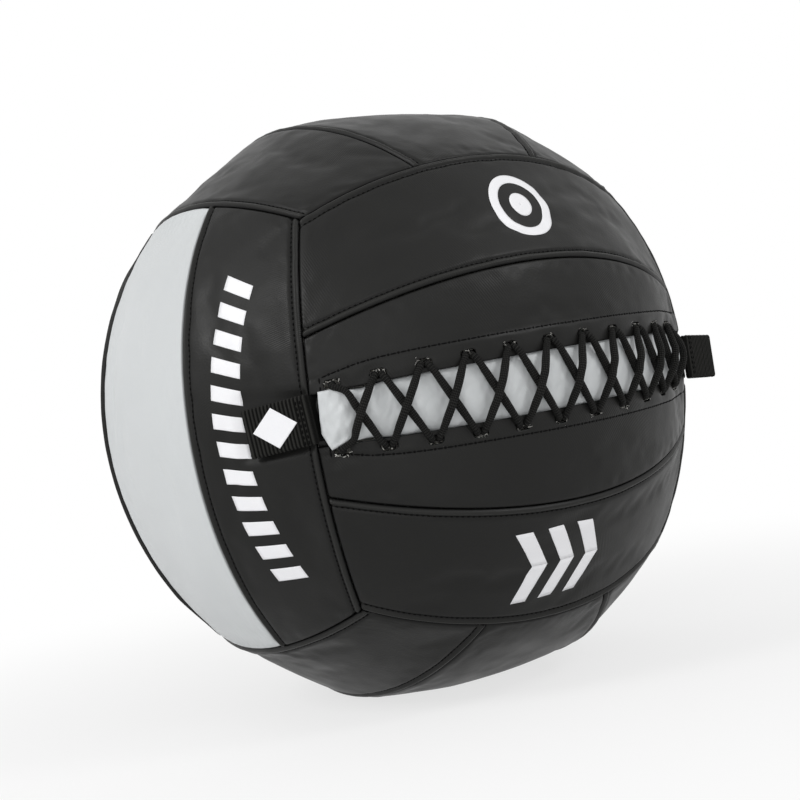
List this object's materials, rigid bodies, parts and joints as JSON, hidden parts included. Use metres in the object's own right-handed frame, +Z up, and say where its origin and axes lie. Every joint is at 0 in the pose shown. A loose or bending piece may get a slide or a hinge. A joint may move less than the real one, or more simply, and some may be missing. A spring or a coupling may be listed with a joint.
{
  "type": "wall ball",
  "caption": "Soft weighted exercise ball in a sewn strip cover, laced shut over a silver tongue, with a folded webbing tab at each end of the lacing.",
  "frame": {"origin": "middle of the flat that the ball rests on, straight under the ball's centre", "axes": "+Z up, the laced strip faces -Y, +X to the right of someone who looks at the lacing"},
  "size_m": [0.3422, 0.3518, 0.34],
  "materials": {
    "vinyl_black": "embossed PVC-coated cloth, low sheen",
    "vinyl_silver": "embossed PVC-coated cloth, silver grey, soft pearly sheen",
    "braid_black": "tubular polyester braid, matt",
    "webbing_black": "ribbed polyester webbing, matt",
    "lining_cloth": "undyed woven lining, matt",
    "fibre_white": "loose polyester fibre, matt",
    "bag_cloth": "unbleached woven cloth, matt",
    "dry_sand": "dry quartz sand",
    "sewing_thread": "bonded polyester sewing thread, black",
    "print_film": "heat-pressed transfer film, plain white",
    "tie_nylon": "moulded nylon strap"
  },
  "bodies": {
    "ball": {"front_upper_panel": "vinyl_black", "front_lower_panel": "vinyl_black", "front_upper_flap": "vinyl_black", "front_lower_flap": "vinyl_black", "back_upper_panel": "vinyl_black", "back_middle_panel": "vinyl_black", "back_lower_panel": "vinyl_black", "left_front_panel": "vinyl_black", "left_middle_panel": "vinyl_silver", "left_back_panel": "vinyl_black", "right_front_panel": "vinyl_black", "right_middle_panel": "vinyl_silver", "right_back_panel": "vinyl_black", "top_left_panel": "vinyl_black", "top_middle_panel": "vinyl_black", "top_right_panel": "vinyl_black", "bottom_left_panel": "vinyl_black", "bottom_middle_panel": "vinyl_black", "bottom_right_panel": "vinyl_black", "tongue": "vinyl_silver", "lace": "braid_black", "left_tab_tail": "webbing_black", "right_tab_tail": "webbing_black", "inner_bag": "lining_cloth", "fibre_fill": "fibre_white", "closing_wad": "fibre_white", "weight_bag": "bag_cloth", "weight_sand": "dry_sand", "weight_bag_tie": "tie_nylon"},
    "left_tab": {"left_tab": "webbing_black"},
    "right_tab": {"right_tab": "webbing_black"}
  },
  "joints": [
    {"name": "left_tab_bend", "type": "hinge", "parent": "ball", "child": "left_tab", "pos_m": [-0.1276, -0.1276, 0.16871], "axis": [-0.0616, 0.0616, 0.9962], "range_deg": [0, 150]},
    {"name": "right_tab_bend", "type": "hinge", "parent": "ball", "child": "right_tab", "pos_m": [0.12369, -0.12369, 0.16871], "axis": [-0.037, -0.037, -0.9986], "range_deg": [-28, 120]}
  ]
}
